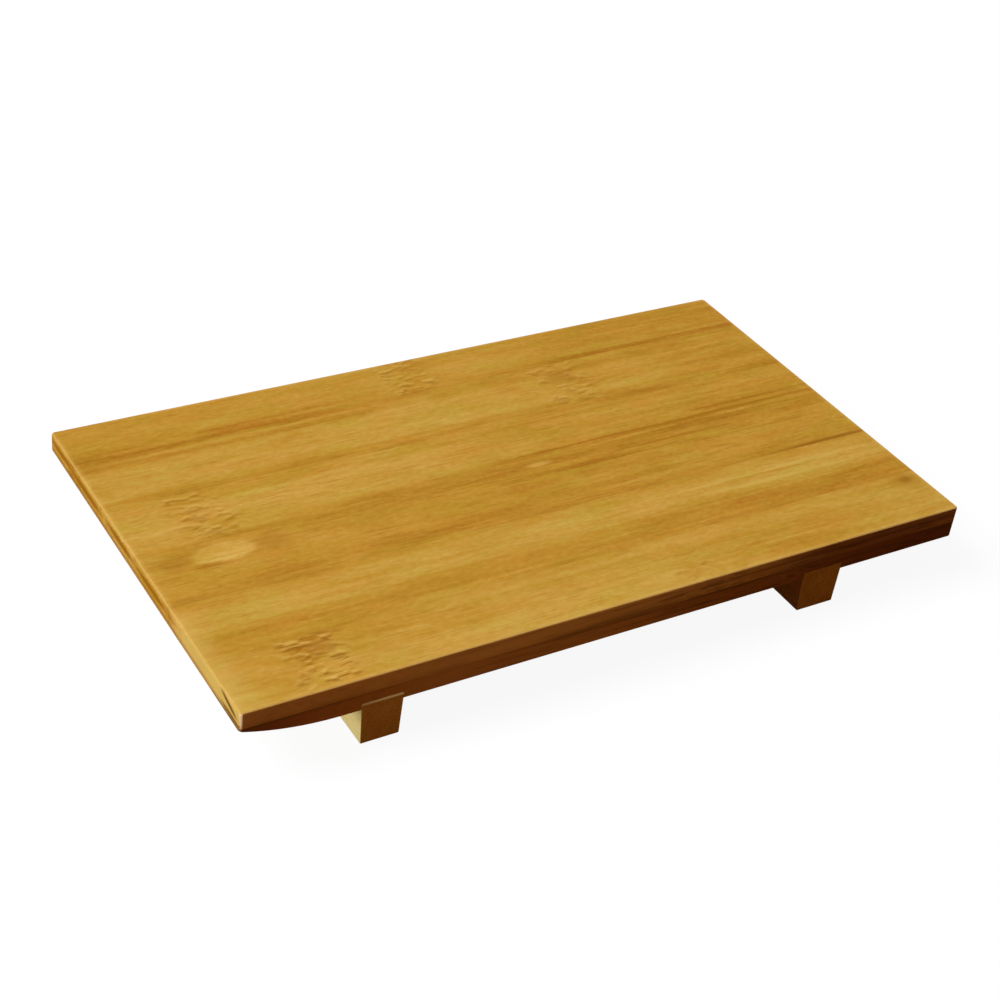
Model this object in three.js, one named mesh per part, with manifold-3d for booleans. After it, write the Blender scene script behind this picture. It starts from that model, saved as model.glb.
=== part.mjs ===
// A footed bamboo serving board: two plies of flat-laid bamboo strips on two feet let into the underside.
// Millimetres, +Z up. X runs along the board, Y from front to back, and the feet stand on Z = 0.
import * as THREE from "three";
import { mergeVertices } from "three/addons/utils/BufferGeometryUtils.js";
import Module from "manifold-3d";

// Board
const BOARD_LENGTH = 210;
const BOARD_WIDTH = 120;
const TOP_PLY = 4.5;
const BOTTOM_PLY = 5;
const CORNER_RADIUS = 1;
const CORNER_STEPS = 6;

// Strips: their planed width, and how far the top ply's middle joint lies behind the centre line
const STRIP_WIDTH = 21;
const TOP_JOINT_OFFSET = 1.2;

// Curved relief under the left end
const RELIEF_LENGTH = 26;
const RELIEF_RISE = 4.2;
const RELIEF_STEPS = 14;

// Feet, and the grooves that house their tongues
const LEFT_FOOT_INSET = 30.5;
const LEFT_FOOT_WIDTH = 11;
const RIGHT_FOOT_INSET = 38.5;
const RIGHT_FOOT_WIDTH = 12.5;
const FOOT_HEIGHT = 10.5;
const FOOT_DRAW_IN = 0.4;
const HOUSING_DEPTH = 2;

// Finish
const STRIP_COLOURS = [0xc39a48, 0xc9a250, 0xbd9142, 0xc79c4a];
const FOOT_COLOUR = 0xb98a3e;
const ROUGHNESS = 0.5;

// Vertices closer than this are one vertex.
const WELD_DISTANCE = 1e-4;

// Heights and places that follow from the sizes above
const BOARD_THICKNESS = TOP_PLY + BOTTOM_PLY;
const UNDERSIDE = FOOT_HEIGHT;
const GLUE_PLANE = UNDERSIDE + BOTTOM_PLY;
const TOP = UNDERSIDE + BOARD_THICKNESS;
const LEFT = -BOARD_LENGTH / 2;
const RIGHT = BOARD_LENGTH / 2;
const FRONT = -BOARD_WIDTH / 2;
const BACK = BOARD_WIDTH / 2;
const BOTTOM_JOINT_OFFSET = TOP_JOINT_OFFSET + STRIP_WIDTH / 2;
const FEET = {
  left_foot: { centre: LEFT + LEFT_FOOT_INSET + LEFT_FOOT_WIDTH / 2, width: LEFT_FOOT_WIDTH },
  right_foot: { centre: RIGHT - RIGHT_FOOT_INSET - RIGHT_FOOT_WIDTH / 2, width: RIGHT_FOOT_WIDTH },
};

const wasm = await Module();
wasm.setup();

// A closed geometry as a solid that can be cut.
function solidOf(geometry) {
  const bare = geometry.clone();
  bare.deleteAttribute("normal");
  bare.deleteAttribute("uv");
  const merged = mergeVertices(bare, WELD_DISTANCE);
  return new wasm.Manifold(
    new wasm.Mesh({
      numProp: 3,
      vertProperties: new Float32Array(merged.attributes.position.array),
      triVerts: new Uint32Array(merged.index.array),
    }),
  );
}

// A solid as a flat-shaded geometry.
function geometryOf(solid) {
  const mesh = solid.getMesh();
  const indexed = new THREE.BufferGeometry();
  indexed.setAttribute("position", new THREE.BufferAttribute(mesh.vertProperties, 3));
  indexed.setIndex(new THREE.BufferAttribute(mesh.triVerts, 1));
  const flat = indexed.toNonIndexed();
  flat.computeVertexNormals();
  return flat;
}

// A block between two opposite corners.
function block(low, high) {
  const size = high.map((end, i) => end - low[i]);
  const middle = high.map((end, i) => (end + low[i]) / 2);
  return new THREE.BoxGeometry(...size).translate(...middle);
}

// A side profile, drawn in X and Z, carried along Y over the board's whole width.
function prismAcross(profile) {
  const geometry = new THREE.ExtrudeGeometry(profile, {
    depth: BOARD_WIDTH,
    bevelEnabled: false,
    curveSegments: RELIEF_STEPS,
  });
  return geometry.rotateX(Math.PI / 2).translate(0, BACK, 0);
}

// The board's outline from above, with rounded corners.
function planOutline() {
  const r = CORNER_RADIUS;
  const shape = new THREE.Shape();
  shape.moveTo(LEFT + r, FRONT);
  shape.lineTo(RIGHT - r, FRONT);
  shape.absarc(RIGHT - r, FRONT + r, r, -Math.PI / 2, 0);
  shape.lineTo(RIGHT, BACK - r);
  shape.absarc(RIGHT - r, BACK - r, r, 0, Math.PI / 2);
  shape.lineTo(LEFT + r, BACK);
  shape.absarc(LEFT + r, BACK - r, r, Math.PI / 2, Math.PI);
  shape.lineTo(LEFT, FRONT + r);
  shape.absarc(LEFT + r, FRONT + r, r, Math.PI, 1.5 * Math.PI);
  return shape;
}

// The board from the side: under the left end an arc leaves the flat underside smoothly and rises to the end.
function sideOutline() {
  const radius = (RELIEF_LENGTH ** 2 + RELIEF_RISE ** 2) / (2 * RELIEF_RISE);
  const sweep = Math.asin(RELIEF_LENGTH / radius);
  const shape = new THREE.Shape();
  shape.moveTo(LEFT, TOP);
  shape.lineTo(LEFT, UNDERSIDE + RELIEF_RISE);
  shape.absarc(LEFT + RELIEF_LENGTH, UNDERSIDE + radius, radius, -Math.PI / 2 - sweep, -Math.PI / 2);
  shape.lineTo(RIGHT, UNDERSIDE);
  shape.lineTo(RIGHT, TOP);
  shape.closePath();
  return shape;
}

// Both plies as one shaped panel, with the relief and the feet's grooves cut: each strip is a slice of it.
function shapedPanel() {
  const plan = new THREE.ExtrudeGeometry(planOutline(), {
    depth: BOARD_THICKNESS,
    bevelEnabled: false,
    curveSegments: CORNER_STEPS,
  }).translate(0, 0, UNDERSIDE);
  let panel = solidOf(plan).intersect(solidOf(prismAcross(sideOutline())));
  for (const { centre, width } of Object.values(FEET)) {
    const groove = block(
      [centre - width / 2, FRONT - HOUSING_DEPTH, UNDERSIDE - HOUSING_DEPTH],
      [centre + width / 2, BACK + HOUSING_DEPTH, UNDERSIDE + HOUSING_DEPTH],
    );
    panel = panel.subtract(solidOf(groove));
  }
  return panel;
}

// The edges of a ply's strips from front to back, with one joint at the given place.
// A trimmed outer strip under a quarter of a strip wide stays part of its neighbour.
function stripEdges(joint) {
  const narrowest = STRIP_WIDTH / 4;
  const toFront = Math.floor((joint - FRONT - narrowest) / STRIP_WIDTH);
  const edges = [FRONT];
  for (let i = -toFront; joint + i * STRIP_WIDTH <= BACK - narrowest; i++) {
    edges.push(joint + i * STRIP_WIDTH);
  }
  edges.push(BACK);
  return edges;
}

// A named piece in its own bamboo tone.
function piece(name, geometry, colour) {
  const material = new THREE.MeshStandardMaterial({ color: colour, roughness: ROUGHNESS, metalness: 0 });
  const mesh = new THREE.Mesh(geometry, material);
  mesh.name = name;
  return mesh;
}

// One ply: its strips in order from front to back.
function ply(name, panel, joint, low, high) {
  const group = new THREE.Group();
  const edges = stripEdges(joint);
  for (let i = 0; i + 1 < edges.length; i++) {
    const slice = block([LEFT, edges[i], low], [RIGHT, edges[i + 1], high]);
    const strip = solidOf(slice).intersect(panel);
    group.add(piece(`${name}_${i + 1}`, geometryOf(strip), STRIP_COLOURS[i % STRIP_COLOURS.length]));
  }
  return group;
}

// A foot's section: a straight tongue that fills the groove, then sides that draw in to the sole.
function footSection({ centre, width }) {
  const half = width / 2;
  const sole = half - FOOT_DRAW_IN;
  const shape = new THREE.Shape();
  shape.moveTo(centre - half, UNDERSIDE + HOUSING_DEPTH);
  shape.lineTo(centre - half, UNDERSIDE);
  shape.lineTo(centre - sole, 0);
  shape.lineTo(centre + sole, 0);
  shape.lineTo(centre + half, UNDERSIDE);
  shape.lineTo(centre + half, UNDERSIDE + HOUSING_DEPTH);
  shape.closePath();
  return shape;
}

// The two feet, each as long as the board is wide.
function feet() {
  const group = new THREE.Group();
  for (const [name, foot] of Object.entries(FEET)) {
    group.add(piece(name, prismAcross(footSection(foot)), FOOT_COLOUR));
  }
  return group;
}

const panel = shapedPanel();
const board = new THREE.Group();
board.add(ply("top_strip", panel, TOP_JOINT_OFFSET, GLUE_PLANE, TOP));
board.add(ply("bottom_strip", panel, BOTTOM_JOINT_OFFSET, UNDERSIDE, GLUE_PLANE));
board.add(feet());

export default board;
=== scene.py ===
# A footed bamboo serving board: the looks of its strips and feet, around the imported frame.
import math
from dataclasses import dataclass, field

import bmesh
import bpy
from mathutils import Matrix, Vector


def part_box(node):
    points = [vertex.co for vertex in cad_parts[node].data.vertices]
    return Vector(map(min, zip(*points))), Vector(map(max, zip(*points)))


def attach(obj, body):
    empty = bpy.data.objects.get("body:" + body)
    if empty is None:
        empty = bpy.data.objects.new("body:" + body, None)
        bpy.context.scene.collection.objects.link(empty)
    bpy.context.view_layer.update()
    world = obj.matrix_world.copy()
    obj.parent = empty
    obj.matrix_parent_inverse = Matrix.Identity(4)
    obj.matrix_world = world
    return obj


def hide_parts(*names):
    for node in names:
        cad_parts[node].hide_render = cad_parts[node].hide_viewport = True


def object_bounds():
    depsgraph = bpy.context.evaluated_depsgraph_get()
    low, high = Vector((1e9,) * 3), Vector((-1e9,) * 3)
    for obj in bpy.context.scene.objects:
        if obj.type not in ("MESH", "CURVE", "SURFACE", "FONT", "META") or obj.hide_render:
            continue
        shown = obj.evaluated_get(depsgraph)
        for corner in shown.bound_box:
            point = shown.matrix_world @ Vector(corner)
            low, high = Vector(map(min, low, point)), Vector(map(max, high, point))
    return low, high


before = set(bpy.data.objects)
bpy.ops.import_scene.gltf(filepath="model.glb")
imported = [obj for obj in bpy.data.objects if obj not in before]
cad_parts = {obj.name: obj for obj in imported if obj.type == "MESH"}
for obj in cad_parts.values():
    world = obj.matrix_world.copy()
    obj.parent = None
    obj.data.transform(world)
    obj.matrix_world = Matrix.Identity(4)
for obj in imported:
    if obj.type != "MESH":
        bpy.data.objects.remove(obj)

# Lengths are in metres in meshes, and in millimetres in the materials and in the looks of the strips.
MM = 0.001

# The board as the frame gives it
CAD_LOW, CAD_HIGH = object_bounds()
TOP_NODES = [f"top_strip_{i}" for i in range(1, 7)]
BOTTOM_NODES = [f"bottom_strip_{i}" for i in range(1, 8)]
FOOT_NODES = ["left_foot", "right_foot"]
FOOT_BOXES = [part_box(node) for node in FOOT_NODES]
GLUE_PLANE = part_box(TOP_NODES[0])[0].z
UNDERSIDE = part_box(BOTTOM_NODES[0])[0].z
GROOVE_TOP = FOOT_BOXES[0][1].z

# Shapes that the boxes don't give
RELIEF_LENGTH = 26 * MM
RELIEF_RISE = 4.2 * MM
RELIEF_STEPS = 20
FOOT_DRAW_IN = 0.4 * MM
CORNER_RADIUS = 1 * MM
CORNER_SEGMENTS = 6

# Eased edges
TOP_ARRIS = 0.55 * MM
LOWER_ARRIS = 0.35 * MM
ARRIS_SEGMENTS = 4
FOOT_ARRIS = 0.25 * MM
FOOT_ARRIS_SEGMENTS = 3
SHARP_ANGLE = math.radians(40)

# Two points closer than this are in one plane.
TOUCH = 2e-6


# Palette


def paint(red, green, blue):
    """A colour written as on a screen, 0 to 255, as the linear colour that a shader takes."""
    def linear(value):
        share = value / 255
        return share / 12.92 if share <= 0.04045 else ((share + 0.055) / 1.055) ** 2.4
    return (linear(red), linear(green), linear(blue), 1.0)


BUNDLE_BROWN = paint(156, 103, 26)
DOT_BROWN = paint(92, 54, 14)
KNUCKLE_BROWN = paint(148, 96, 24)
KNUCKLE_CREAM = paint(220, 178, 92)
PATCH_BROWN = paint(172, 118, 46)
PIN_KNOT_TAN = paint(172, 120, 32)
CRACK_BROWN = paint(138, 86, 14)
JOINT_BROWN = paint(104, 60, 10)
# The top's pale edge line and arris: partly rubbed wood, partly a painted highlight
ARRIS_CREAM = paint(230, 182, 104)
# Painted shade on the end rims, toning down the lamps' highlight there
RIM_TAN = paint(166, 136, 74)
# A painted highlight down the front left corner
CORNER_CREAM = paint(255, 212, 158)
SEAM_BROWN = paint(126, 80, 6)
NOTCH_BROWN = paint(92, 60, 20)
END_CREAM = paint(172, 142, 72)
STREAK_BROWN = paint(108, 50, 14)
FLECK_CREAM = paint(222, 178, 88)
# Painted light and painted shade for stretches of the front edge
FRONT_EDGE_PAINTED_LIGHT = paint(230, 188, 78)
FRONT_EDGE_PAINTED_SHADE = paint(140, 90, 40)
SIDE_SHADE = paint(62, 25, 7)
HAZE_CREAM = paint(214, 177, 92)
# The glue line along a foot's tongue, painted pale partly as a highlight
GLUE_AND_HIGHLIGHT_CREAM = paint(255, 196, 122)
SHEEN_AMBER = paint(255, 205, 130)

# Tints over the wood's own grain: rosy and greenish stretches, and the oval plug with a painted shadow in
# front of it
BLUSH_TINT = (1.045, 0.995, 1.07, 1)
OLIVE_TINT = (0.96, 1.015, 0.92, 1)
OVAL_TINT = (1.12, 1.22, 1.66, 1)
OVAL_RIM_TINT = (1.08, 1.19, 1.42, 1)
OVAL_DARK_WOOD_AND_SHADOW_TINT = (0.84, 0.76, 0.66, 1)


@dataclass
class Wood:
    """Bamboo of one finish: its tones, its tints on the sides, the sawn ends and the back, the first two of
    which carry painted light and shade too, and its marks.
    """
    pale: tuple
    middle: tuple
    deep: tuple
    side: tuple
    end: tuple
    back: tuple
    side_streaks: float = 0.0
    side_dashes: float = 0.0
    # How strong the front left corner's painted highlight and the end rims' painted shade are
    corners: float = 0.0


HONEY_TONES = (paint(204, 164, 77), paint(190, 141, 49), paint(168, 112, 30))
CREAM_TONES = (paint(226, 200, 132), paint(212, 182, 108), paint(186, 146, 66))
BOARD_MARKS = {"side_streaks": 0.6, "side_dashes": 0.5, "corners": 0.9}
# The board's side and end tints are partly the darker wood of its edges and partly painted shade: sides that
# look to the front are darker and redder than those that look to the back, and the ends are darkened against
# the strong light from the left.
TOP_WOOD = Wood(*HONEY_TONES, side=(0.87, 0.41, 0.38, 1), end=(0.68, 0.68, 0.82, 1),
                back=(0.86, 0.68, 0.66, 1), **BOARD_MARKS)
BOTTOM_WOOD = Wood(*HONEY_TONES, side=(0.74, 0.32, 0.31, 1), end=(0.74, 0.74, 0.90, 1),
                   back=(0.76, 0.57, 0.55, 1), **BOARD_MARKS)
# The feet are lit and shaded copies of one bamboo, which is painted light and shade: the left foot has paler
# tones and cream sides as if lit, the right foot has dark red sides as if in shade, and both feet's fronts
# are darkened and reddened as painted shade.
LIT_LEFT_FOOT_WOOD = Wood(*CREAM_TONES, side=(1.02, 1.13, 1.36, 1), end=(0.71, 0.285, 0.08, 1),
                      back=(0.70, 0.50, 0.34, 1))
SHADED_RIGHT_FOOT_WOOD = Wood(*HONEY_TONES, side=(0.60, 0.30, 0.40, 1), end=(1.07, 0.58, 0.46, 1),
                       back=(0.92, 0.74, 0.72, 1))


# Looks of the strips, in millimetres: X along the board, Y towards the back

# How far a spot's outline strays, as a share of its size
SPOT_UNEVENNESS = 0.4


@dataclass
class Knuckle:
    """A knuckle of the bamboo, where the fibres bend and break up."""
    along: float
    across: float
    reach: float
    strength: float = 1.0


@dataclass
class Band:
    """A long stretch of deeper (or, below zero, paler) tone along the fibres."""
    start: float
    stop: float
    across: float
    half_width: float
    depth: float


@dataclass
class Spot:
    """A single oval mark, in its own colour or as a tint. Its rim is as soft as a share of its size."""
    along: float
    across: float
    half_length: float
    half_width: float
    colour: tuple
    strength: float
    soft: float = 0.4
    blend: str = "MIX"
    uneven: float = SPOT_UNEVENNESS


@dataclass
class EndMark:
    """A streak in a strip's sawn ends: where it lies across and up, its half sizes, and its slope."""
    across: float
    height: float
    half_width: float
    half_height: float
    strength: float
    slope: float = 0.0
    colour: tuple = SEAM_BROWN
    left_only: bool = False


@dataclass
class Glue:
    """A glue line: its height, reach and colour, its strength on sides and ends, and where it fades in."""
    height: float
    width: float
    colour: tuple
    on_sides: float
    on_ends: float
    fade: tuple = ()


@dataclass
class Look:
    """One strip's tone, from 0 for pale to 1 for deep, and what can be seen on its face."""
    tone: float
    seed: float
    knuckles: list = field(default_factory=list)
    bands: list = field(default_factory=list)
    spots: list = field(default_factory=list)
    end_marks: list = field(default_factory=list)
    bundles: float = 0.2


# A band that runs off an end of the board starts or stops here.
PAST_LEFT = -140
PAST_RIGHT = 140

# A mark on the front edge is centred this far in front of it, and reaches this far back and forth.
FRONT_MARK_LEAD = 0.2
FRONT_MARK_REACH = 0.5


def front_edge_light_mark(along, half_length, colour, strength, soft):
    """A stretch of the front edge, made paler by painted light or darker by painted shade."""
    across = CAD_LOW.y / MM - FRONT_MARK_LEAD
    return Spot(along, across, half_length, FRONT_MARK_REACH, colour, strength, soft)


# The pale oval plug: the darker wood left and right of it, a painted shadow in front of it, its face, and
# its brighter front rim
OVAL_PLUG = [
    Spot(-97.5, -4.6, 4.5, 3.0, OVAL_DARK_WOOD_AND_SHADOW_TINT, 0.9, 1.2, "MULTIPLY"),
    Spot(-71.5, -4.6, 4.5, 3.0, OVAL_DARK_WOOD_AND_SHADOW_TINT, 0.9, 1.2, "MULTIPLY"),
    # A painted shadow in front of the plug's left half
    Spot(-89.4, -8.1, 3.6, 1.1, OVAL_DARK_WOOD_AND_SHADOW_TINT, 0.9, 0.9, "MULTIPLY"),
    Spot(-84.4, -4.4, 8.2, 3.8, OVAL_TINT, 0.95, 0.3, "MULTIPLY", 0.1),
    Spot(-84.6, -6.1, 7.0, 1.6, OVAL_RIM_TINT, 0.9, 0.8, "MULTIPLY", 0.15),
]

# From the front to the back
TOP_LOOKS = [
    Look(0.34, 310,
         [Knuckle(-82, -49.5, 10.3, 1.9), Knuckle(19, -56, 4.2, 0.6)],
         [Band(35, 75, -52, 6, 0.2), Band(-70, 20, -46, 1.2, 0.15), Band(-60, 20, -55, 5, -0.25)],
         [Spot(-78.4, -46, 3.4, 2.8, PATCH_BROWN, 0.5, 1.0),
          Spot(99.5, -44, 4.6, 3.0, PIN_KNOT_TAN, 0.5, 1.2),
          Spot(99.7, -43.8, 1.9, 1.3, KNUCKLE_BROWN, 0.65, 1.3),
          Spot(-105, -50, 5, 12, HAZE_CREAM, 0.45, 1.5),
          # Painted light on the front edge's left half, painted shade towards its right end
          front_edge_light_mark(-20, 55, FRONT_EDGE_PAINTED_LIGHT, 0.85, 1.4),
          front_edge_light_mark(78, 24, FRONT_EDGE_PAINTED_SHADE, 0.65, 1.2)],
         [EndMark(-46, 17.5, 24, 4.5, 0.8, colour=END_CREAM, left_only=True),
          EndMark(-54.5, 18.5, 4.6, 0.75, 0.95, slope=0.24, colour=NOTCH_BROWN, left_only=True),
          EndMark(-55.5, 16.2, 5.5, 0.7, 0.85, slope=0.05, colour=NOTCH_BROWN, left_only=True)]),
    Look(0.42, 120, [],
         [Band(PAST_LEFT, PAST_RIGHT, -26.5, 4.5, -0.18), Band(PAST_LEFT, PAST_RIGHT, -36.5, 4.2, 0.24),
          Band(40, 100, -30, 5, -0.12), Band(47, 87, -25.6, 0.5, -0.35),
          Band(52, 92, -29.6, 0.5, -0.35), Band(45, 84, -33.2, 0.4, -0.3)],
         [Spot(-105, -34, 4, 10, HAZE_CREAM, 0.4, 1.5)],
         [EndMark(-41, 17.5, 17, 4.5, 0.7, colour=END_CREAM, left_only=True),
          EndMark(-17, 18.0, 8, 0.7, 0.6)]),
    Look(0.50, 740, [],
         [Band(-80, 5, -16.5, 2.8, 0.18), Band(5, 45, -4.5, 0.9, 0.4), Band(10, 50, -14.5, 1.2, 0.2),
          Band(-55, PAST_RIGHT, -0.2, 1.5, 0.2), Band(20, 95, -2.4, 0.5, 0.35),
          Band(30, 92, -6.6, 0.5, 0.3)],
         [*OVAL_PLUG,
          Spot(8.2, -0.2, 3.4, 0.9, FLECK_CREAM, 0.55, 1.2),
          Spot(91, -19.4, 15, 0.9, CRACK_BROWN, 0.7, 1.4)],
         [EndMark(-9, 17.9, 10.5, 1.0, 0.95)], bundles=0.4),
    Look(0.36, 560, [Knuckle(-83, 12, 12)],
         [Band(PAST_LEFT, -25, 13, 8, -0.16), Band(10, PAST_RIGHT, 8, 9, 0.22),
          Band(-55, PAST_RIGHT, 3, 1.8, 0.3), Band(PAST_LEFT, PAST_RIGHT, 19.5, 3, 0.16),
          Band(-50, -12, 21.4, 0.9, 0.3), Band(50, PAST_RIGHT, 21.0, 1.6, 0.35),
          Band(5, 90, 4.6, 0.5, 0.35), Band(40, 100, 7.0, 0.5, 0.3)],
         [], [EndMark(11, 18.1, 9.5, 1.1, 0.95)], bundles=0.3),
    Look(0.40, 930, [Knuckle(37, 33, 12, 1.1)],
         [Band(PAST_LEFT, -25, 41, 3.4, 0.34), Band(-25, PAST_RIGHT, 40.6, 2.8, 0.2),
          Band(-100, 20, 31, 6, -0.12), Band(PAST_LEFT, PAST_RIGHT, 23.6, 1.4, 0.2),
          Band(72, PAST_RIGHT, 33, 8, 0.22)],
         [Spot(36.6, 36.2, 3.8, 3.6, PATCH_BROWN, 0.4, 1.0)],
         [EndMark(34, 17.8, 11, 1.1, 0.95)]),
    Look(0.46, 220, [Knuckle(-4.5, 52, 11, 1.1)],
         [Band(PAST_LEFT, -25, 44.8, 2.6, 0.32), Band(34, PAST_RIGHT, 43.9, 1.3, 0.4),
          Band(40, PAST_RIGHT, 52, 8, 0.18)],
         [], [EndMark(52, 18.1, 9, 1.0, 0.9)]),
]
BOTTOM_LOOKS = [
    Look(0.72, 1670, [Knuckle(48, -55.6, 4.4)], [],
         # Painted shade at the front edge's left end and towards its right, painted light in its left half
         [front_edge_light_mark(-112, 22, FRONT_EDGE_PAINTED_SHADE, 1.0, 1.2),
          front_edge_light_mark(-30, 45, FRONT_EDGE_PAINTED_LIGHT, 0.7, 1.4),
          front_edge_light_mark(108, 56, FRONT_EDGE_PAINTED_SHADE, 0.85, 1.2)],
         [EndMark(-54, 15.0, 9, 0.9, 0.85, colour=NOTCH_BROWN)]),
    Look(0.60, 1840, [Knuckle(-30, -40.8, 10)], [Band(20, PAST_RIGHT, -35, 3, 0.2)],
         [], [EndMark(-51, 15.0, 6, 0.8, 0.7, colour=NOTCH_BROWN)]),
    Look(0.68, 2010, [Knuckle(82, -19.8, 10)], [Band(PAST_LEFT, 0, -24, 2.5, 0.25)]),
    Look(0.55, 2180, [Knuckle(12, 1.2, 10)], [Band(-60, 60, 5, 4, -0.2)]),
    Look(0.66, 2350, [Knuckle(-62, 22.2, 10)], [Band(-20, PAST_RIGHT, 17, 3, 0.2)]),
    Look(0.60, 2520, [Knuckle(38, 43.2, 10)], [Band(PAST_LEFT, 20, 48, 3, 0.25)]),
    Look(0.70, 2690, [Knuckle(-12, 56.8, 3)]),
]

# From left to right. The right foot's deeper tone is painted shade as well.
FOOT_WOODS = [LIT_LEFT_FOOT_WOOD, SHADED_RIGHT_FOOT_WOOD]
FOOT_LOOKS = [Look(0.40, 3100), Look(0.70, 3500)]
# Only the left foot shows the glue line's painted highlight
FOOT_GLUE_HIGHLIGHT_SHOWN = [1.0, 0.0]

# The glue between the plies
PLY_GLUE = {"height": GLUE_PLANE / MM, "width": 1.2, "colour": JOINT_BROWN, "on_sides": 0.55}
TOP_GLUE = Glue(**PLY_GLUE, on_ends=0.4)
BOTTOM_GLUE = Glue(**PLY_GLUE, on_ends=0.2)

# The glue line over a foot, painted pale partly as a highlight, fades in from left to right. It starts this
# far right of the foot's left side, and is whole this far right of its right side.
FOOT_GLUE_HIGHLIGHT_WIDTH = 0.65
FOOT_GLUE_HIGHLIGHT_START = -8.0
FOOT_GLUE_HIGHLIGHT_WHOLE = -2.0


# Node trees


class Graph:
    """Adds nodes to a tree. An input is given as a plain value or as the socket that feeds it."""

    def __init__(self, tree):
        self.tree = tree

    def add(self, kind, inputs=None, **settings):
        node = self.tree.nodes.new(kind)
        for name, value in settings.items():
            setattr(node, name, value)
        for key, value in (inputs or {}).items():
            self.feed(node.inputs[key], value)
        return node

    def feed(self, socket, value):
        if isinstance(value, bpy.types.NodeSocket):
            self.tree.links.new(value, socket)
        else:
            socket.default_value = value

    def group(self, tree, inputs):
        return self.add("ShaderNodeGroup", inputs, node_tree=tree).outputs

    def math(self, operation, *values):
        return self.add("ShaderNodeMath", dict(enumerate(values)), operation=operation).outputs[0]

    def vector(self, operation, *values):
        return self.add("ShaderNodeVectorMath", dict(enumerate(values)), operation=operation).outputs[0]

    def axes(self, vector):
        return self.add("ShaderNodeSeparateXYZ", {0: vector}).outputs

    def product(self, first, *others):
        for other in others:
            first = self.math("MULTIPLY", first, other)
        return first

    def apart(self, first, second):
        return self.math("ABSOLUTE", self.math("SUBTRACT", first, second))

    def sway(self, total, noise, amount):
        """Adds a noise around 0.5 as a swing of the given amount around the total."""
        return self.math("MULTIPLY_ADD", self.math("SUBTRACT", noise, 0.5), amount, total)

    def ease(self, value, start, stop):
        """0 at start and 1 at stop, with a smooth step between them."""
        inputs = {"Value": value, "From Min": start, "From Max": stop}
        return self.add("ShaderNodeMapRange", inputs, interpolation_type="SMOOTHSTEP").outputs[0]

    def noise(self, place, detail=2.0, roughness=0.5, distortion=0.0):
        inputs = {"Vector": place, "Scale": 1.0, "Detail": detail, "Roughness": roughness,
                  "Distortion": distortion}
        return self.add("ShaderNodeTexNoise", inputs).outputs[0]

    def mix(self, share, first, second, blend="MIX"):
        inputs = {0: share, 6: first, 7: second}
        return self.add("ShaderNodeMix", inputs, data_type="RGBA", blend_type=blend).outputs[2]


# The groups' sockets
NUMBER = "NodeSocketFloat"
VECTOR = "NodeSocketVector"


def new_group(name, inputs, outputs):
    """An empty shader node group with the named sockets: its graph, what it is given and what is wanted."""
    tree = bpy.data.node_groups.new(name, "ShaderNodeTree")
    for label, kind in inputs.items():
        tree.interface.new_socket(label, in_out="INPUT", socket_type=kind)
    for label in outputs:
        tree.interface.new_socket(label, in_out="OUTPUT", socket_type=NUMBER)
    graph = Graph(tree)
    given = graph.add("NodeGroupInput").outputs
    wanted = graph.add("NodeGroupOutput").inputs
    return graph, given, wanted


def seeded(graph, given, grain, shift=(0.0, 0.0, 0.0)):
    """The place for a noise: shifted, moved by the seed so that no two strips match, and scaled."""
    moved = graph.vector("ADD", graph.vector("ADD", given["Place"], shift), given["Seed"])
    return graph.vector("MULTIPLY", moved, grain)


# Fibres. Here and below, a grain is a noise's cycles for each mm, and a pair is where an effect starts
# and where it is whole.


@dataclass
class Fibre:
    """One scale of the fibres: its cycles for each mm along and across them, and how its noise is made."""
    along: float
    across: float
    detail: float = 2.0
    roughness: float = 0.5
    distortion: float = 0.0


FIBRES_BY_SCALE = {
    "Band": Fibre(0.006, 0.1, detail=1.0),
    "Mottle": Fibre(0.055, 0.22, distortion=0.6),
    "Streak": Fibre(0.02, 0.7),
    "Dash": Fibre(0.48, 0.95, roughness=0.55, distortion=0.3),
    "Fibre": Fibre(0.04, 4.2),
    "Hue": Fibre(0.05, 0.16, distortion=0.4),
    "Wear": Fibre(0.03, 0.04),
}
BUNDLE_GRAIN = (0.08, 1.2, 1.2)
BUNDLE_RIM = (0.42, 0.12)


def make_fibres():
    """Bamboo's fibres as a solid: long streaks on the faces and dots on the ends."""
    graph, given, wanted = new_group(
        "bamboo_fibres", {"Place": VECTOR, "Seed": NUMBER}, [*FIBRES_BY_SCALE, "Bundle"])
    for name, fibre in FIBRES_BY_SCALE.items():
        place = seeded(graph, given, (fibre.along, fibre.across, fibre.across))
        graph.feed(wanted[name], graph.noise(place, fibre.detail, fibre.roughness, fibre.distortion))
    cells = graph.add("ShaderNodeTexVoronoi", {"Vector": seeded(graph, given, BUNDLE_GRAIN), "Scale": 1.0})
    graph.feed(wanted["Bundle"], graph.ease(cells.outputs["Distance"], *BUNDLE_RIM))
    return graph.tree


# Knuckles
WANDER_GRAIN = (0.0, 0.12, 0.12)
WANDER = 8.0
ZONE_RIM = (10.0, 5.0)
ROW_CORE = 0.7
RIPPLE_GRAIN = (0.22, 0.6, 0.3)
RIPPLE_RIM = (0.46, 0.72)
ON_THE_RIPPLE = (0.0, 0.0, 0.0)
HIGHLIGHT_BEHIND_THE_RIPPLE = (0.0, -1.1, 0.0)
PATCH_GRAIN = (0.09, 0.11, 0.1)
PATCH_RIM = (0.5, 0.66)
BEND_GRAIN = (0.09, 0.12, 0.12)
BEND = 7.0
BEND_RIM = (22.0, 2.0)


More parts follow.
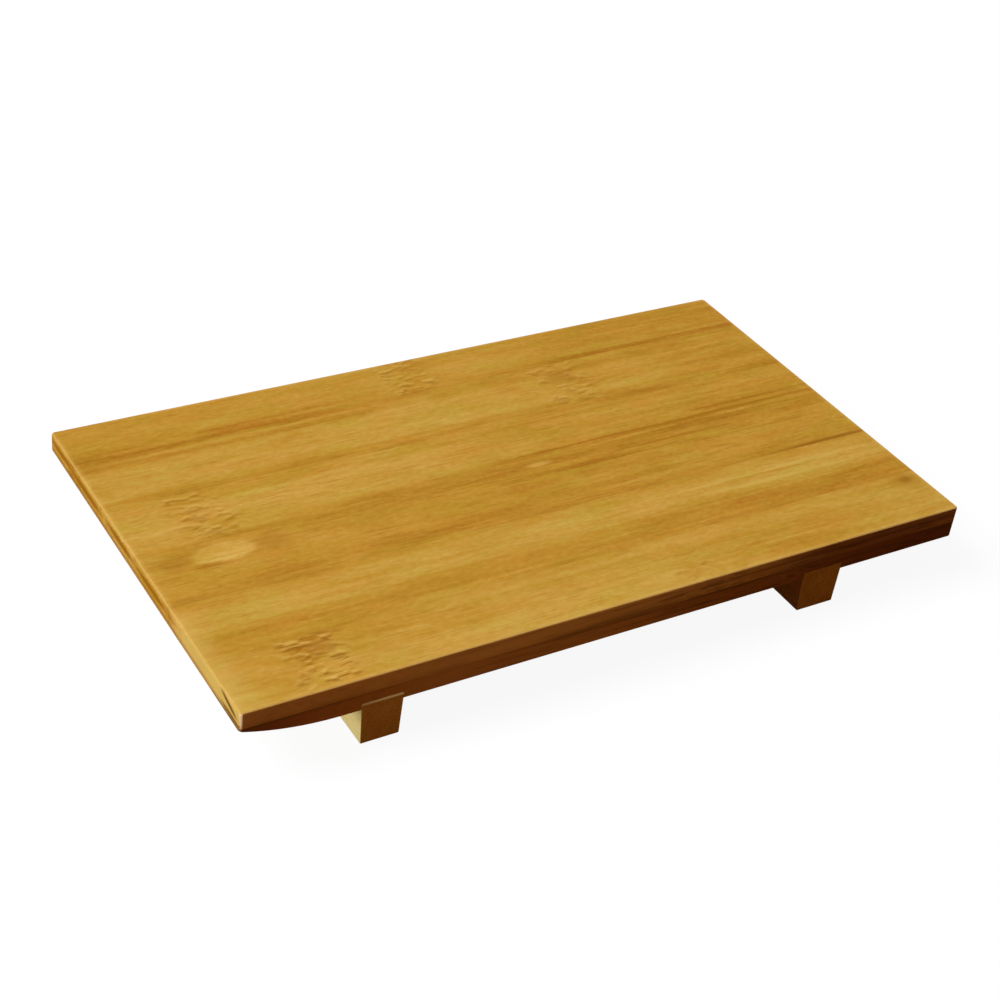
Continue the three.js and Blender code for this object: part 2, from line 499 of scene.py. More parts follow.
def make_knuckle():
    """A knuckle across the strip: dark ripples that are partly painted shade, a painted highlight behind
    each as on relief lit from the back, a brown patch, and bent fibres.
    """
    graph, given, wanted = new_group(
        "bamboo_knuckle",
        {"Place": VECTOR, "Seed": NUMBER, "Along": NUMBER, "Across": NUMBER, "Reach": NUMBER},
        ["Dark", "Pale", "Patch", "Push"])
    x, y, _ = graph.axes(given["Place"])
    wander = graph.noise(seeded(graph, given, WANDER_GRAIN), detail=1.0)
    off_centre = graph.apart(x, graph.sway(given["Along"], wander, WANDER))
    off_row = graph.apart(y, given["Across"])
    row = graph.ease(off_row, given["Reach"], graph.product(given["Reach"], ROW_CORE))
    zone = graph.product(graph.ease(off_centre, *ZONE_RIM), row)

    def ripples(shift):
        bumps = graph.noise(seeded(graph, given, RIPPLE_GRAIN, shift), detail=1.5, distortion=0.6)
        return graph.product(graph.ease(bumps, *RIPPLE_RIM), zone)

    dark = ripples(ON_THE_RIPPLE)
    painted_highlight = ripples(HIGHLIGHT_BEHIND_THE_RIPPLE)
    patches = graph.noise(seeded(graph, given, PATCH_GRAIN), detail=1.0)
    bend = graph.math("SUBTRACT", graph.noise(seeded(graph, given, BEND_GRAIN), detail=1.0), 0.5)
    graph.feed(wanted["Dark"], dark)
    graph.feed(wanted["Pale"], graph.product(painted_highlight, graph.math("SUBTRACT", 1.0, dark)))
    graph.feed(wanted["Patch"], graph.product(graph.ease(patches, *PATCH_RIM), zone))
    graph.feed(wanted["Push"], graph.product(bend, BEND, graph.ease(off_centre, *BEND_RIM)))
    return graph.tree


# Tone bands: their rims as shares of their half width, and how far their ends fade
WAVER_GRAIN = (0.02, 0.0, 0.0)
BAND_OUTER = 1.35
BAND_INNER = 0.5
BAND_FADE = 16.0
BAND_PATCH_GRAIN = (0.02, 0.5, 0.5)
BAND_PATCH_RIM = (0.25, 0.6)


def make_tone_band():
    """A soft band along the fibres, with a wavering edge and fading ends."""
    graph, given, wanted = new_group(
        "tone_band",
        {"Place": VECTOR, "Seed": NUMBER, "Start": NUMBER, "Stop": NUMBER,
         "Across": NUMBER, "Half width": NUMBER},
        ["Mask"])
    x, y, _ = graph.axes(given["Place"])
    waver = graph.noise(seeded(graph, given, WAVER_GRAIN))
    off = graph.apart(y, graph.sway(given["Across"], waver, given["Half width"]))
    outer = graph.product(given["Half width"], BAND_OUTER)
    inner = graph.product(given["Half width"], BAND_INNER)
    begun = graph.ease(graph.math("SUBTRACT", x, given["Start"]), -BAND_FADE, BAND_FADE)
    ended = graph.ease(graph.math("SUBTRACT", given["Stop"], x), -BAND_FADE, BAND_FADE)
    patchy = graph.ease(graph.noise(seeded(graph, given, BAND_PATCH_GRAIN)), *BAND_PATCH_RIM)
    graph.feed(wanted["Mask"], graph.product(graph.ease(off, outer, inner), patchy, begun, ended))
    return graph.tree


# Glued joints: the core of their line as a share of its width, and how far their shade reaches
JOINT_GRAIN = (0.03, 0.03, 0.0)
JOINT_PATCH_RIM = (0.38, 0.68)
JOINT_CORE = 0.3
JOINT_SHADE_RIM = (2.4, 0.1)


def make_joint():
    """The darker line where two strips or two plies are glued, from the distance to the joint."""
    graph, given, wanted = new_group(
        "glued_joint", {"Place": VECTOR, "Seed": NUMBER, "Distance": NUMBER, "Width": NUMBER},
        ["Whole", "Line", "Shade"])
    along = graph.noise(seeded(graph, given, JOINT_GRAIN), detail=3.0)
    line = graph.ease(given["Distance"], given["Width"], graph.product(given["Width"], JOINT_CORE))
    patchy = graph.ease(along, *JOINT_PATCH_RIM)
    graph.feed(wanted["Whole"], line)
    graph.feed(wanted["Line"], graph.product(line, patchy))
    graph.feed(wanted["Shade"], graph.product(graph.ease(given["Distance"], *JOINT_SHADE_RIM), patchy))
    return graph.tree


SPOT_GRAIN = (0.25, 0.5, 0.5)


def make_spot():
    """An oval mark with an uneven outline, fading between its inner and its outer rim."""
    graph, given, wanted = new_group(
        "oval_spot",
        {"Place": VECTOR, "Seed": NUMBER, "Along": NUMBER, "Across": NUMBER, "Half length": NUMBER,
         "Half width": NUMBER, "Inner": NUMBER, "Outer": NUMBER, "Uneven": NUMBER},
        ["Mask"])
    x, y, _ = graph.axes(given["Place"])
    u = graph.math("DIVIDE", graph.math("SUBTRACT", x, given["Along"]), given["Half length"])
    v = graph.math("DIVIDE", graph.math("SUBTRACT", y, given["Across"]), given["Half width"])
    radius = graph.math("SQRT", graph.math("ADD", graph.product(u, u), graph.product(v, v)))
    uneven = graph.noise(seeded(graph, given, SPOT_GRAIN))
    strayed = graph.sway(radius, uneven, given["Uneven"])
    graph.feed(wanted["Mask"], graph.ease(strayed, given["Outer"], given["Inner"]))
    return graph.tree


# How far a normal leans along an axis before its face counts as looking that way
FACING = (0.55, 0.9)
FACING_UP = (0.6, 0.95)
OFF_UPRIGHT = (0.4, 0.7)
OFF_LEVEL = (0.97, 0.85)
ROUND_AN_EDGE = (0.1, 0.35)
ROUND_A_CORNER = (0.2, 0.45)


def make_faces():
    """Which way a face looks, with the fibres along X: at their ends, along their sides, or round an edge.

    The board's own normal, which isn't turned with the fibres, tells the faces that look to the back.
    """
    graph, given, wanted = new_group(
        "bamboo_faces", {"Normal": VECTOR, "Board normal": VECTOR},
        ["End", "Side", "Back", "Up", "Arris", "Rim", "Corner"])
    x, y, z = graph.axes(given["Normal"])
    _, backwards, _ = graph.axes(given["Board normal"])
    lengthwise = graph.math("ABSOLUTE", x)
    crosswise = graph.math("ABSOLUTE", y)
    slanting = graph.product(graph.ease(z, *OFF_UPRIGHT), graph.ease(z, *OFF_LEVEL))
    endwards = graph.ease(lengthwise, *ROUND_AN_EDGE)
    graph.feed(wanted["End"], graph.ease(lengthwise, *FACING))
    graph.feed(wanted["Side"], graph.ease(crosswise, *FACING))
    graph.feed(wanted["Back"], graph.ease(backwards, *FACING))
    graph.feed(wanted["Up"], graph.ease(z, *FACING_UP))
    graph.feed(wanted["Arris"], graph.product(slanting, graph.ease(crosswise, *ROUND_AN_EDGE)))
    graph.feed(wanted["Rim"], graph.product(slanting, endwards))
    graph.feed(wanted["Corner"], graph.product(endwards, graph.ease(crosswise, *ROUND_A_CORNER)))
    return graph.tree


# Rubbed edges of the top, lightened partly as a painted highlight
RUB_AND_HIGHLIGHT_RIM = (1.7, 0.5)
RUB_AND_HIGHLIGHT_GRAIN = (0.12, 0.12, 0.0)
RUB_AND_HIGHLIGHT_PATCH_RIM = (0.25, 0.6)
RUB_AND_HIGHLIGHT_FACING_UP = (0.8, 0.98)


def make_rub_and_highlight():
    """A broken pale line where hands and cloths rub the top, just inside its outline, which is partly a
    painted highlight.
    """
    graph, given, wanted = new_group(
        "rubbed_and_lit_edge", {"Place": VECTOR, "Seed": NUMBER, "Normal": VECTOR}, ["Mask"])
    x, y, _ = graph.axes(given["Place"])
    _, _, up = graph.axes(given["Normal"])
    to_end = graph.math("SUBTRACT", CAD_HIGH.x / MM, graph.math("ABSOLUTE", x))
    to_side = graph.math("SUBTRACT", CAD_HIGH.y / MM, graph.math("ABSOLUTE", y))
    line = graph.ease(graph.math("MINIMUM", to_end, to_side), *RUB_AND_HIGHLIGHT_RIM)
    broken = graph.ease(graph.noise(seeded(graph, given, RUB_AND_HIGHLIGHT_GRAIN)), *RUB_AND_HIGHLIGHT_PATCH_RIM)
    graph.feed(wanted["Mask"], graph.product(line, broken, graph.ease(up, *RUB_AND_HIGHLIGHT_FACING_UP)))
    return graph.tree


FIBRES = make_fibres()
KNUCKLE = make_knuckle()
TONE_BAND = make_tone_band()
JOINT = make_joint()
SPOT = make_spot()
FACES = make_faces()
RUB_AND_HIGHLIGHT = make_rub_and_highlight()


# Materials


def new_material(name):
    material = bpy.data.materials.new(name)
    material.use_nodes = True
    material.node_tree.nodes.clear()
    return material, Graph(material.node_tree)


def fibre_space(graph, turned):
    """The place in millimetres and the normal, both turned so that the fibres run along X.

    The board's own normal comes third.
    """
    turn = (0.0, 0.0, math.pi / 2 if turned else 0.0)
    here = graph.add("ShaderNodeTexCoord").outputs
    place = {"Vector": here["Object"], "Rotation": turn, "Scale": (1 / MM,) * 3}
    normal = {"Vector": here["Normal"], "Rotation": turn}
    return (graph.add("ShaderNodeMapping", place).outputs[0],
            graph.add("ShaderNodeMapping", normal, vector_type="VECTOR").outputs[0],
            here["Normal"])


@dataclass
class KnuckleMarks:
    """What all the knuckles of a strip put on it, and the place with the fibres bent round them."""
    bent: object
    dark: object = 0.0
    pale: object = 0.0
    patch: object = 0.0


def draw_knuckles(graph, look, place):
    marks = KnuckleMarks(bent=place)
    for knuckle in look.knuckles:
        found = graph.group(KNUCKLE, {"Place": place, "Seed": look.seed, "Along": knuckle.along,
                                      "Across": knuckle.across, "Reach": knuckle.reach})
        marks.dark = graph.math("MULTIPLY_ADD", found["Dark"], knuckle.strength, marks.dark)
        marks.pale = graph.math("MULTIPLY_ADD", found["Pale"], knuckle.strength, marks.pale)
        marks.patch = graph.math("MULTIPLY_ADD", found["Patch"], knuckle.strength, marks.patch)
        push = graph.add("ShaderNodeCombineXYZ", {"Y": found["Push"]}).outputs[0]
        marks.bent = graph.vector("ADD", marks.bent, push)
    return marks


# The width of the joints' lines on the faces, in millimetres
JOINT_WIDTH = 0.5


def draw_joints(graph, look, place, joints):
    """The joints to the strips in front and behind, where there are any."""
    _, y, _ = graph.axes(place)
    front, back = joints
    distance = graph.math("MINIMUM", graph.math("SUBTRACT", y, front), graph.math("SUBTRACT", back, y))
    return graph.group(JOINT, {
        "Place": place, "Seed": look.seed, "Distance": distance, "Width": JOINT_WIDTH})


# How far each scale of the fibres swings the tone, and how much a joint and a knuckle's patch deepen it
TONE_SWINGS = {"Band": 0.36, "Mottle": 0.6, "Streak": 0.32, "Dash": 0.65, "Fibre": 0.06}
JOINT_DEEPENS = 0.22
PATCH_DEEPENS = 0.16


def draw_tone(graph, look, marks, fibres, joint):
    """How deep the tone is: the strip's own, its streaks and bands, and what joints and knuckles add."""
    depth = look.tone
    for name, amount in TONE_SWINGS.items():
        depth = graph.sway(depth, fibres[name], amount)
    for band in look.bands:
        found = graph.group(TONE_BAND, {
            "Place": marks.bent, "Seed": look.seed, "Start": band.start, "Stop": band.stop,
            "Across": band.across, "Half width": band.half_width})
        depth = graph.math("MULTIPLY_ADD", found["Mask"], band.depth, depth)
    depth = graph.math("MULTIPLY_ADD", joint["Shade"], JOINT_DEEPENS, depth)
    return graph.math("MULTIPLY_ADD", marks.patch, PATCH_DEEPENS, depth)


def tone_ramp(graph, wood, depth):
    """Pale to deep."""
    node = graph.add("ShaderNodeValToRGB", {0: depth})
    ramp = node.color_ramp
    ramp.elements[0].color = wood.pale
    ramp.elements[1].color = wood.deep
    ramp.elements.new(0.5).color = wood.middle
    return node.outputs[0]


# Where the hue turns rosy and greenish, and how strong the marks on the faces are
BLUSH_RIM = (0.48, 0.68)
OLIVE_RIM = (0.52, 0.32)
KNUCKLE_DARK = 0.5
# The knuckles' pale strokes are a painted highlight, and their dark ripples are partly painted shade
KNUCKLE_PALE = 0.38
JOINT_DARK = 0.16


def draw_face(graph, look, place, colour, marks, fibres, joint):
    """What lies on the tone: rosy and greenish stretches, bundles, knuckles, spots and joint lines."""
    colour = graph.mix(graph.ease(fibres["Hue"], *BLUSH_RIM), colour, BLUSH_TINT, "MULTIPLY")
    colour = graph.mix(graph.ease(fibres["Hue"], *OLIVE_RIM), colour, OLIVE_TINT, "MULTIPLY")
    colour = graph.mix(graph.product(fibres["Bundle"], look.bundles), colour, BUNDLE_BROWN)
    if look.knuckles:
        colour = graph.mix(graph.product(marks.dark, KNUCKLE_DARK), colour, KNUCKLE_BROWN)
        colour = graph.mix(graph.product(marks.pale, KNUCKLE_PALE), colour, KNUCKLE_CREAM)
    for spot in look.spots:
        found = graph.group(SPOT, {
            "Place": place, "Seed": look.seed, "Along": spot.along, "Across": spot.across,
            "Half length": spot.half_length, "Half width": spot.half_width,
            "Inner": 1 - spot.soft / 2, "Outer": 1 + spot.soft / 2, "Uneven": spot.uneven})
        colour = graph.mix(graph.product(found["Mask"], spot.strength), colour, spot.colour, spot.blend)
    return graph.mix(graph.product(joint["Line"], JOINT_DARK), colour, JOINT_BROWN)


# The left half along X and the front half along Y, in millimetres
LOWER_HALF = (1.0, -1.0)

# Marks on the sides: where along the board they set in, and how much fewer there are at the back
STREAK_RIM = (0.46, 0.68)
STREAKS_SET_IN = (-95.0, 20.0)
DASHES_SET_IN = (-90.0, 90.0)
CALMER_BACK = -0.5

# Marks on ends and edges, and the heights between which the front left corner's painted highlight sets in
END_DOTS = 0.22
# The top's rubbed edge and its arris are lightened partly as rubbed wood and partly as a painted highlight
TOP_EDGE_RUB_AND_HIGHLIGHT = 0.28
ARRIS_RUB_AND_HIGHLIGHT = 0.7
CORNER_HIGHLIGHT_RIM = (14.8, 16.6)


def draw_edges(graph, wood, place, colour, fibres, faces, rub_and_highlight):
    """Tints and marks the long sides, tints and dots the sawn ends, and lightens the rubbed edges. The tints
    carry painted light and shade, the rubbed edges are partly a painted highlight, the front left corner
    gets a painted highlight and the end rims painted shade.
    """
    x, y, z = graph.axes(place)
    near_left = graph.product(
        graph.ease(x, *LOWER_HALF), graph.ease(y, *LOWER_HALF), graph.ease(z, *CORNER_HIGHLIGHT_RIM))
    streaky = graph.product(graph.ease(fibres["Streak"], *STREAK_RIM), graph.ease(x, *STREAKS_SET_IN))
    marked = graph.math("MULTIPLY_ADD", faces["Back"], CALMER_BACK, faces["Side"])
    streaks = graph.product(marked, streaky, wood.side_streaks)
    dashes = graph.product(marked, fibres["Bundle"], graph.ease(x, *DASHES_SET_IN), wood.side_dashes)
    side_and_light_tint = graph.mix(faces["Back"], wood.side, wood.back)
    end_and_light_tint = graph.mix(faces["Back"], wood.end, wood.back)
    colour = graph.mix(faces["Side"], colour, graph.mix(1.0, colour, side_and_light_tint, "MULTIPLY"))
    colour = graph.mix(streaks, colour, STREAK_BROWN)
    colour = graph.mix(dashes, colour, SIDE_SHADE)
    colour = graph.mix(faces["End"], colour, graph.mix(1.0, colour, end_and_light_tint, "MULTIPLY"))
    colour = graph.mix(graph.product(faces["End"], fibres["Bundle"], END_DOTS), colour, DOT_BROWN)
    # The rubbed edge and the arris, lightened partly as a painted highlight
    colour = graph.mix(graph.product(rub_and_highlight, TOP_EDGE_RUB_AND_HIGHLIGHT), colour, ARRIS_CREAM)
    colour = graph.mix(graph.product(faces["Arris"], ARRIS_RUB_AND_HIGHLIGHT), colour, ARRIS_CREAM)
    # A painted highlight down the front left corner, and painted shade on the end rims
    colour = graph.mix(graph.product(faces["Corner"], near_left, wood.corners), colour, CORNER_CREAM)
    return graph.mix(graph.product(faces["Rim"], wood.corners), colour, RIM_TAN)


# The rims of the streaks in the sawn ends, as shares of their size
END_MARK_INNER = 0.5
END_MARK_OUTER = 1.3


def draw_end_marks(graph, look, place, faces, colour):
    """The streaks in the sawn ends."""
    x, y, z = graph.axes(place)
    for mark in look.end_marks:
        here = faces["End"]
        if mark.left_only:
            here = graph.product(here, graph.ease(x, *LOWER_HALF))
        risen = graph.math("MULTIPLY_ADD", y, -mark.slope, mark.slope * mark.across)
        height = graph.math("ADD", z, risen)
        end_place = graph.add("ShaderNodeCombineXYZ", {"X": y, "Y": height}).outputs[0]
        found = graph.group(SPOT, {
            "Place": end_place, "Seed": look.seed, "Along": mark.across, "Across": mark.height,
            "Half length": mark.half_width, "Half width": mark.half_height,
            "Inner": END_MARK_INNER, "Outer": END_MARK_OUTER, "Uneven": SPOT_UNEVENNESS})
        colour = graph.mix(graph.product(found["Mask"], here, mark.strength), colour, mark.colour)
    return colour


def draw_glue(graph, look, place, faces, colour, glue):
    """The glue's line, patchy along the sides, and whole or fading in across the ends."""
    _, y, z = graph.axes(place)
    line = graph.group(JOINT, {
        "Place": place, "Seed": look.seed, "Distance": graph.apart(z, glue.height), "Width": glue.width})
    along = graph.product(line["Line"], faces["Side"], glue.on_sides)
    across = graph.product(line["Whole"], faces["End"], glue.on_ends)
    if glue.fade:
        across = graph.product(across, graph.ease(y, *glue.fade))
    return graph.mix(graph.math("MAXIMUM", along, across), colour, glue.colour)


# Finish: roughness, a thin coat of oil on the top, and the depth of the grain
ROUGHNESS = 0.54
FIBRE_ROUGHNESS = 0.14
WEAR_ROUGHNESS = 0.16
SAWN_ROUGHNESS = 0.2
GLOSS = 0.008
OIL = 0.06
OIL_RIM = (0.8, 0.3)
OIL_ROUGHNESS = 0.5
BUNDLE_RISE = -0.9
KNUCKLE_RISE = -0.8
GRAIN_STRENGTH = 0.2
GRAIN_DEPTH = 0.06 * MM


def draw_finish(graph, marks, fibres, faces):
    """How rough and how oily the wood is, and the normal that its grain gives it."""
    rough = graph.math("MULTIPLY_ADD", fibres["Fibre"], FIBRE_ROUGHNESS, ROUGHNESS)
    rough = graph.sway(rough, fibres["Wear"], WEAR_ROUGHNESS)
    sawn = graph.math("MAXIMUM", faces["End"], faces["Side"])
    rough = graph.math("MULTIPLY_ADD", sawn, SAWN_ROUGHNESS, rough)
    oily = graph.product(faces["Up"], graph.ease(fibres["Wear"], *OIL_RIM), OIL)
    height = graph.math("MULTIPLY_ADD", fibres["Bundle"], BUNDLE_RISE, fibres["Fibre"])
    height = graph.math("MULTIPLY_ADD", marks.dark, KNUCKLE_RISE, height)
    relief = {"Height": height, "Strength": GRAIN_STRENGTH, "Distance": GRAIN_DEPTH}
    return rough, oily, graph.add("ShaderNodeBump", relief).outputs[0]


def bamboo(name, wood, look, joints, glue, turned=False, rubbed_and_lit=False):
    """Bamboo with its fibres along X, or along Y if it is turned. The top's outline may be rubbed, and
    lightened partly as a painted highlight.
    """
    material, graph = new_material(name)
    place, normal, board_normal = fibre_space(graph, turned)
    marks = draw_knuckles(graph, look, place)
    fibres = graph.group(FIBRES, {"Place": marks.bent, "Seed": look.seed})
    joint = draw_joints(graph, look, place, joints)
    faces = graph.group(FACES, {"Normal": normal, "Board normal": board_normal})
    rub_and_highlight = 0.0
    if rubbed_and_lit:
        rub_and_highlight = graph.group(RUB_AND_HIGHLIGHT, {"Place": place, "Seed": look.seed, "Normal": normal})["Mask"]

    colour = tone_ramp(graph, wood, draw_tone(graph, look, marks, fibres, joint))
    colour = draw_face(graph, look, place, colour, marks, fibres, joint)
    colour = draw_edges(graph, wood, place, colour, fibres, faces, rub_and_highlight)
    colour = draw_end_marks(graph, look, place, faces, colour)
    colour = draw_glue(graph, look, place, faces, colour, glue)
    rough, oily, grain = draw_finish(graph, marks, fibres, faces)

    shader = graph.add("ShaderNodeBsdfPrincipled", {
        "Base Color": colour, "Roughness": rough, "Normal": grain,
        "Specular IOR Level": GLOSS, "Specular Tint": SHEEN_AMBER,
        "Coat Weight": oily, "Coat Roughness": OIL_ROUGHNESS})
    output = graph.add("ShaderNodeOutputMaterial")
    graph.feed(output.inputs["Surface"], shader.outputs[0])
    return material


# Meshes

# A normal that rises less than this is an upright face's, and one that rises more is a level face's.
STEEP = 0.5

# How much more a large face counts than a small one where their normals are blended
LARGE_FACES_COUNT = 100


def near(first, second):
    return abs(first - second) < TOUCH


def prism(outline, front, back):
    """A closed outline in X and Z, drawn at the front and extruded to the back."""
    bm = bmesh.new()
    face = bm.faces.new([bm.verts.new((x, front, z)) for x, z in outline])
    grown = bmesh.ops.extrude_face_region(bm, geom=[face])["geom"]
    moved = [item for item in grown if isinstance(item, bmesh.types.BMVert)]
    bmesh.ops.translate(bm, verts=moved, vec=(0, back - front, 0))
    bmesh.ops.recalc_face_normals(bm, faces=bm.faces)
    return bm


def round_edges(bm, edges, radius, segments):
    bmesh.ops.bevel(bm, geom=edges, offset=radius, offset_type="OFFSET", segments=segments, profile=0.5,
                    affect="EDGES", material=-1, clamp_overlap=True)
    bm.normal_update()


def sharp_edges(bm):
    return [edge for edge in bm.edges if edge.calc_face_angle(0) > SHARP_ANGLE]


def is_corner(edge):
    """An upright edge at a corner of the board."""
    first, second = (vert.co for vert in edge.verts)
    upright = near(first.x, second.x) and near(first.y, second.y)
    at_end = near(abs(first.x), CAD_HIGH.x)
    at_side = near(abs(first.y), CAD_HIGH.y)
    return upright and at_end and at_side


def is_outer(face):
    """An upright face on the board's outline."""
    centre = face.calc_center_median()
    upright = abs(face.normal.z) < STEEP
    at_end = abs(centre.x) > CAD_HIGH.x - CORNER_RADIUS
    at_side = abs(centre.y) > CAD_HIGH.y - CORNER_RADIUS
    return upright and (at_end or at_side)


def over_foot(face):
    """The ceiling of a groove."""
    centre = face.calc_center_median()
    return any(low.x - TOUCH < centre.x < high.x + TOUCH for low, high in FOOT_BOXES)


def is_level(face, upwards):
    """A face of the top, or of the underside apart from its grooves."""
    return face.normal.z * upwards > STEEP and (upwards > 0 or not over_foot(face))


def is_arris(edge, upwards):
    """An edge between the board's outline and its top, or its underside."""
    outer = [face for face in edge.link_faces if is_outer(face)]
    level = [face for face in edge.link_faces if is_level(face, upwards)]
    return len(outer) == 1 and len(level) == 1


def keep_inside(bm, node):
    """Takes rounding errors off, so that no point lies outside the node's box."""
    low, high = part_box(node)
    for vert in bm.verts:
        vert.co = [min(max(value, least), most) for value, least, most in zip(vert.co, low, high)]


def finish_piece(bm, name, node, material):
    """Makes the mesh an object that stands for its node in the frame."""
    bmesh.ops.recalc_face_normals(bm, faces=bm.faces)
    keep_inside(bm, node)
    for face in bm.faces:
        face.smooth = True
    for edge in sharp_edges(bm):
        edge.smooth = False
    mesh = bpy.data.meshes.new(name)
    bm.to_mesh(mesh)
    bm.free()
    mesh.materials.append(material)
    piece = bpy.data.objects.new(name, mesh)
    bpy.context.scene.collection.objects.link(piece)
    flats = piece.modifiers.new("flat_faces_stay_flat", "WEIGHTED_NORMAL")
    flats.weight = LARGE_FACES_COUNT
    flats.keep_sharp = True
    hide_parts(node)
    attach(piece, "root")


def make_lath(outline, node, name, material, upwards, arris):
    """One strip of a ply: its outline from front to back, with the board's own edges rounded."""
    low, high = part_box(node)
    bm = prism(outline, low.y, high.y)
    round_edges(bm, [edge for edge in bm.edges if is_corner(edge)], CORNER_RADIUS, CORNER_SEGMENTS)
    round_edges(bm, [edge for edge in bm.edges if is_arris(edge, upwards)], arris, ARRIS_SEGMENTS)
    finish_piece(bm, name, node, material)


# Pieces

# A joint that isn't there is set this far off, in millimetres.
OUT_OF_REACH = 1000.0


def joints_of(node):
    """Where a strip is glued to its neighbours, in millimetres."""
    low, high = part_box(node)
    front = -OUT_OF_REACH if near(low.y, CAD_LOW.y) else low.y / MM
    back = OUT_OF_REACH if near(high.y, CAD_HIGH.y) else high.y / MM
    return front, back


def make_top_strips():
    outline = [
        (CAD_LOW.x, GLUE_PLANE), (CAD_HIGH.x, GLUE_PLANE),
        (CAD_HIGH.x, CAD_HIGH.z), (CAD_LOW.x, CAD_HIGH.z),
    ]
    for number, (node, look) in enumerate(zip(TOP_NODES, TOP_LOOKS), start=1):
        material = bamboo(f"top_bamboo_{number}", TOP_WOOD, look, joints_of(node), TOP_GLUE, rubbed_and_lit=True)
        make_lath(outline, node, f"top_lath_{number}", material, 1, TOP_ARRIS)


def underside_outline():
    """The bottom ply from the side: the arc under the left end, then the underside with its grooves."""
    radius = (RELIEF_LENGTH ** 2 + RELIEF_RISE ** 2) / (2 * RELIEF_RISE)
    sweep = math.asin(RELIEF_LENGTH / radius)
    points = [(CAD_LOW.x, GLUE_PLANE)]
    for step in range(RELIEF_STEPS + 1):
        angle = sweep * (1 - step / RELIEF_STEPS)
        x = CAD_LOW.x + RELIEF_LENGTH - radius * math.sin(angle)
        z = UNDERSIDE + radius * (1 - math.cos(angle))
        points.append((x, z))
    for low, high in FOOT_BOXES:
        points += [(low.x, UNDERSIDE), (low.x, GROOVE_TOP), (high.x, GROOVE_TOP), (high.x, UNDERSIDE)]
    points += [(CAD_HIGH.x, UNDERSIDE), (CAD_HIGH.x, GLUE_PLANE)]
    return points


def make_bottom_strips():
    outline = underside_outline()
    for number, (node, look) in enumerate(zip(BOTTOM_NODES, BOTTOM_LOOKS), start=1):
        material = bamboo(f"bottom_bamboo_{number}", BOTTOM_WOOD, look, joints_of(node), BOTTOM_GLUE)
        make_lath(outline, node, f"bottom_lath_{number}", material, -1, LOWER_ARRIS)


def foot_outline(low, high):
    """A foot from the front: the tongue that fills the groove, then sides that draw in to the sole."""
    return [
        (low.x + FOOT_DRAW_IN, low.z), (high.x - FOOT_DRAW_IN, low.z),
        (high.x, UNDERSIDE), (high.x, high.z), (low.x, high.z), (low.x, UNDERSIDE),
    ]


def foot_glue_and_highlight(low, high, shown):
    """The glue that shows along the top of a foot's tongue, painted pale partly as a highlight."""
    fade = (low.x / MM + FOOT_GLUE_HIGHLIGHT_START, high.x / MM + FOOT_GLUE_HIGHLIGHT_WHOLE)
    return Glue((high.z - FOOT_ARRIS) / MM, FOOT_GLUE_HIGHLIGHT_WIDTH, GLUE_AND_HIGHLIGHT_CREAM, 0.0, shown, fade)


def make_feet():
    no_joints = (-OUT_OF_REACH, OUT_OF_REACH)
    for node, wood, look, glue_highlight_shown in zip(FOOT_NODES, FOOT_WOODS, FOOT_LOOKS, FOOT_GLUE_HIGHLIGHT_SHOWN):
        low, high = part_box(node)
        bm = prism(foot_outline(low, high), low.y, high.y)
        round_edges(bm, sharp_edges(bm), FOOT_ARRIS, FOOT_ARRIS_SEGMENTS)
        glue = foot_glue_and_highlight(low, high, glue_highlight_shown)
        material = bamboo(f"{node}_bamboo", wood, look, no_joints, glue, turned=True)
        finish_piece(bm, f"{node}_bar", node, material)


# Stage, in metres and watts

FLOOR_HALF = 3.0
FLOOR_DROP = 0.05 * MM
FLOOR_GREY = (0.1, 0.1, 0.1, 1)
FLOOR_GLOW = 0.92
WHITE = (1, 1, 1, 1)
SKY_LIGHT = 0.1


@dataclass
class Softbox:
    """A square lamp: where it stands, where it is aimed, its side and its power."""
    name: str
    place: tuple
    aim: tuple
    size: float
    power: float


BOARD_MIDDLE = (0, 0, CAD_HIGH.z)
FRONT_LEFT_CORNER = (-0.1, -0.06, 0.01)
SOFTBOXES = [
    Softbox("window_left", (-4.6, 2.0, 5.0), BOARD_MIDDLE, 4.4, 548),
    Softbox("low_left", (-4.0, 1.0, 0.6), BOARD_MIDDLE, 1.4, 136),
    Softbox("front_left", (-0.35, -0.35, 0.15), FRONT_LEFT_CORNER, 0.2, 0.36),
    Softbox("fill_right", (4.0, 1.0, 0.8), BOARD_MIDDLE, 1.5, 46),
]


def seen_rays(graph):
    """1 for the rays that show the background: from the camera, in a reflection or through glass."""
    rays = graph.add("ShaderNodeLightPath").outputs
    shown = graph.math("MAXIMUM", rays["Is Camera Ray"], rays["Is Glossy Ray"])
    return graph.math("MAXIMUM", shown, rays["Is Transmission Ray"])


def floor_white():
    """A pale floor that takes the board's shadow and otherwise looks white. It isn't seen from below."""
    material, graph = new_material("floor_white")
    glow = graph.math("MULTIPLY", seen_rays(graph), FLOOR_GLOW)
    shader = graph.add("ShaderNodeBsdfPrincipled", {
        "Base Color": FLOOR_GREY, "Roughness": 1.0, "Specular IOR Level": 0.0,
        "Emission Color": WHITE, "Emission Strength": glow})
    clear = graph.add("ShaderNodeBsdfTransparent")
    from_below = graph.add("ShaderNodeNewGeometry").outputs["Backfacing"]
    seen = graph.add("ShaderNodeMixShader", {0: from_below, 1: shader.outputs[0], 2: clear.outputs[0]})
    output = graph.add("ShaderNodeOutputMaterial")
    graph.feed(output.inputs["Surface"], seen.outputs[0])
    return material


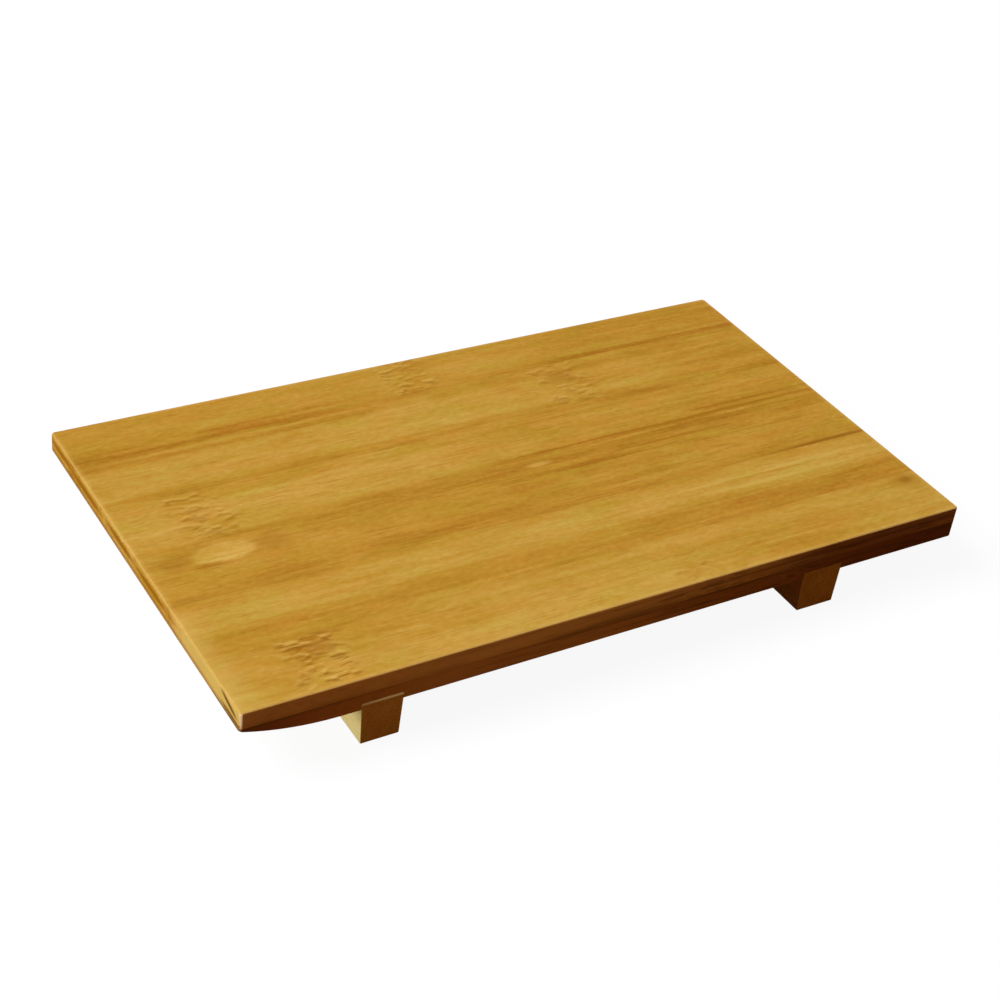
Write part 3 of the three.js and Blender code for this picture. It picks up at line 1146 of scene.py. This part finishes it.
def make_floor():
    bm = bmesh.new()
    lowered = Matrix.Translation((0, 0, -FLOOR_DROP))
    bmesh.ops.create_grid(bm, x_segments=1, y_segments=1, size=FLOOR_HALF, matrix=lowered)
    mesh = bpy.data.meshes.new("floor")
    bm.to_mesh(mesh)
    bm.free()
    mesh.materials.append(floor_white())
    floor = bpy.data.objects.new("floor", mesh)
    bpy.context.scene.collection.objects.link(floor)


def make_sky():
    """Even light from all round, white where it shows."""
    world = bpy.data.worlds.new("studio")
    world.use_nodes = True
    bpy.context.scene.world = world
    graph = Graph(world.node_tree)
    background = world.node_tree.nodes["Background"]
    background.inputs["Color"].default_value = WHITE
    strength = graph.math("MULTIPLY_ADD", seen_rays(graph), 1 - SKY_LIGHT, SKY_LIGHT)
    graph.feed(background.inputs["Strength"], strength)


def make_lights():
    for softbox in SOFTBOXES:
        light = bpy.data.lights.new(softbox.name, "AREA")
        light.shape = "SQUARE"
        light.size = softbox.size
        light.energy = softbox.power
        lamp = bpy.data.objects.new(softbox.name, light)
        lamp.location = softbox.place
        beam = Vector(softbox.aim) - Vector(softbox.place)
        lamp.rotation_euler = beam.to_track_quat("-Z", "Y").to_euler()
        bpy.context.scene.collection.objects.link(lamp)


# Camera, fitted to the corners of the top and the feet

CAMERA_PLACE = Vector((-242.65, -348.80, 304.68)) * MM
CAMERA_AIM = Vector((-9.94, -10.64, 20.0)) * MM
CAMERA_ROLL = math.radians(7.406)
CAMERA_LENS = 69.55
CAMERA_SENSOR = 36.0
CAMERA_NEAR = 10 * MM


def make_camera():
    camera = bpy.data.cameras.new("camera")
    camera.lens = CAMERA_LENS
    camera.sensor_width = CAMERA_SENSOR
    camera.clip_start = CAMERA_NEAR
    viewer = bpy.data.objects.new("camera", camera)
    level = (CAMERA_AIM - CAMERA_PLACE).to_track_quat("-Z", "Y").to_matrix()
    turned = level @ Matrix.Rotation(CAMERA_ROLL, 3, "Z")
    viewer.matrix_world = Matrix.Translation(CAMERA_PLACE) @ turned.to_4x4()
    bpy.context.scene.collection.objects.link(viewer)
    bpy.context.scene.camera = viewer


make_camera()
make_floor()
make_sky()
make_lights()
make_top_strips()
make_bottom_strips()
make_feet()
bpy.context.scene.view_settings.view_transform = "Standard"
